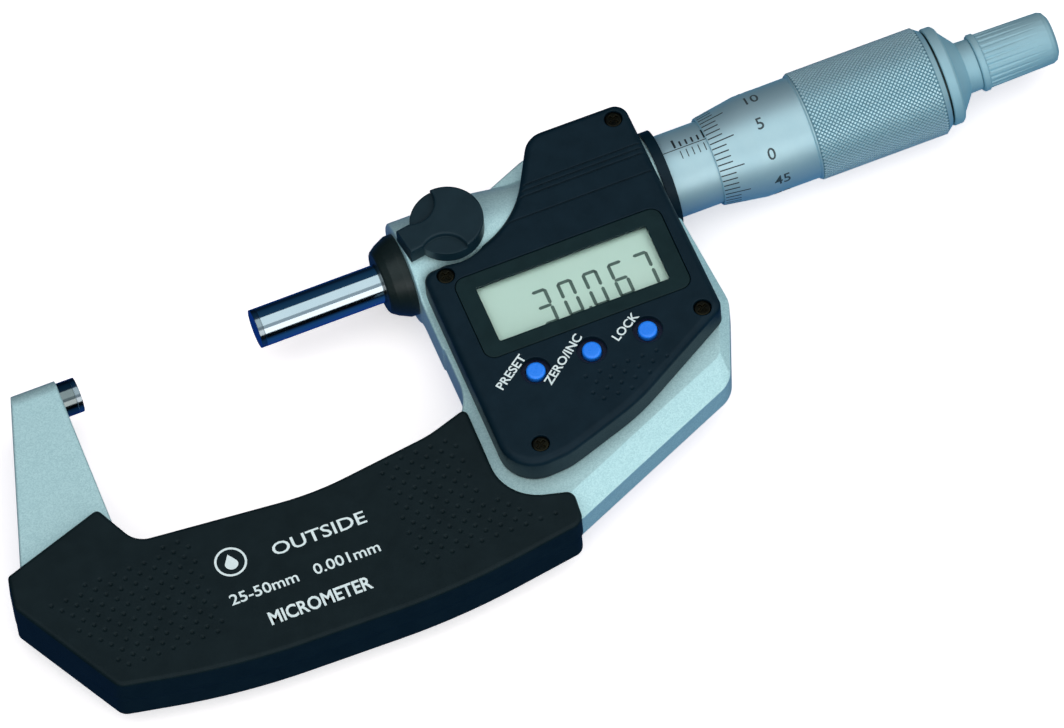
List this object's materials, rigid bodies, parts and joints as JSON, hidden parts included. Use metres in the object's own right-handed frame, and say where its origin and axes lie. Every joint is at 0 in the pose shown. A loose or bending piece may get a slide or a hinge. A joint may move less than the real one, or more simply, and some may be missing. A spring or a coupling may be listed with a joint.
{
  "type": "outside micrometer",
  "caption": "Digital outside micrometer with a C-shaped frame, insulating covers, display unit, spindle clamp and ratchet thimble for measuring thickness.",
  "frame": {"origin": "centre of the anvil's measuring face", "axes": "+X along the spindle from the anvil to the ratchet, +Y away from the bow of the frame, +Z out of the display; the tool lies on its back"},
  "size_m": [0.1901, 0.0698, 0.0215],
  "materials": {
    "frame_paint": "fine sparkle silver-grey enamel, satin",
    "cover_plastic": "fine textured near-black plastic",
    "housing_plastic": "fine textured blue-black plastic",
    "bezel": "smooth dark olive-grey plastic",
    "lcd_glass": "clear hard window",
    "lcd": "pale green-grey liquid crystal panel",
    "button_blue": "blue moulded key",
    "black_steel": "black oxide screw",
    "ground_steel": "ground bright steel",
    "satin_chrome": "satin chrome plate",
    "carbide": "lapped tungsten carbide",
    "seal_rubber": "black sealing rubber",
    "knob_plastic": "black moulded plastic",
    "circuit": "green circuit board",
    "brass": "plain brass",
    "cell": "nickel plated cell can",
    "ceramic_white": "pale moulded insulator"
  },
  "bodies": {
    "frame": {"frame": "frame_paint", "anvil": "ground_steel", "anvil_tip": "carbide", "front_cover": "cover_plastic", "rear_cover": "cover_plastic", "cover_screws": "black_steel", "display_housing": "housing_plastic", "housing_gasket": "seal_rubber", "lcd_bezel": "bezel", "lcd_window": "lcd_glass", "lcd_panel": "lcd", "zebra_strips": "seal_rubber", "circuit_board": "circuit", "switch_domes": "brass", "housing_screws": "black_steel", "battery": "cell", "battery_contact": "brass", "spindle_seal": "seal_rubber", "spindle_bushing": "brass", "clamp_ring": "ground_steel", "encoder_stator": "circuit", "inner_sleeve": "ground_steel", "graduated_sleeve": "satin_chrome", "adjusting_nut": "brass", "sleeve_collar": "housing_plastic"},
    "rotor": {"encoder_rotor": "ceramic_white"},
    "spindle": {"spindle": "ground_steel", "spindle_tip": "carbide", "thimble": "satin_chrome", "thimble_seal": "seal_rubber", "thimble_end_cap": "satin_chrome", "ratchet_screw": "ground_steel", "ratchet_pawl": "ground_steel", "ratchet_spring": "ground_steel"},
    "ratchet_cap": {"ratchet_cap": "satin_chrome"},
    "clamp_lever": {"clamp_lever": "knob_plastic", "clamp_stud": "ground_steel"},
    "origin_button": {"origin_button": "button_blue"},
    "zero_button": {"zero_button": "button_blue"},
    "hold_button": {"hold_button": "button_blue"},
    "battery_cap": {"battery_cap": "knob_plastic", "battery_cap_seal": "seal_rubber"}
  },
  "joints": [
    {"name": "spindle_turn", "type": "hinge", "parent": "frame", "child": "rotor", "pos_m": [0.0885, 0, 0], "axis": [1, 0, 0], "range_deg": [-3650, 14355]},
    {"name": "spindle_travel", "type": "slide", "parent": "rotor", "child": "spindle", "axis": [1, 0, 0], "range_m": [-0.00507, 0.01993]},
    {"name": "ratchet_turn", "type": "hinge", "parent": "spindle", "child": "ratchet_cap", "pos_m": [0.159, 0, 0], "axis": [1, 0, 0], "continuous": true},
    {"name": "clamp_turn", "type": "hinge", "parent": "frame", "child": "clamp_lever", "pos_m": [0.0633, 0, 0.011], "axis": [0, 0, 1], "range_deg": [0, 55]},
    {"name": "battery_cap_turn", "type": "hinge", "parent": "frame", "child": "battery_cap", "pos_m": [0.0779, -0.026, -0.0035], "axis": [0, 0, -1], "range_deg": [0, 90]},
    {"name": "origin_press", "type": "slide", "parent": "frame", "child": "origin_button", "axis": [0, 0, -1], "range_m": [0, 0.0005], "stiffness_N_per_m": 400},
    {"name": "zero_press", "type": "slide", "parent": "frame", "child": "zero_button", "axis": [0, 0, -1], "range_m": [0, 0.0005], "stiffness_N_per_m": 400},
    {"name": "hold_press", "type": "slide", "parent": "frame", "child": "hold_button", "axis": [0, 0, -1], "range_m": [0, 0.0005], "stiffness_N_per_m": 400}
  ],
  "couplings": [
    {"joint": "spindle_turn", "follows": "spindle_travel", "rad_per_m": 12566}
  ]
}
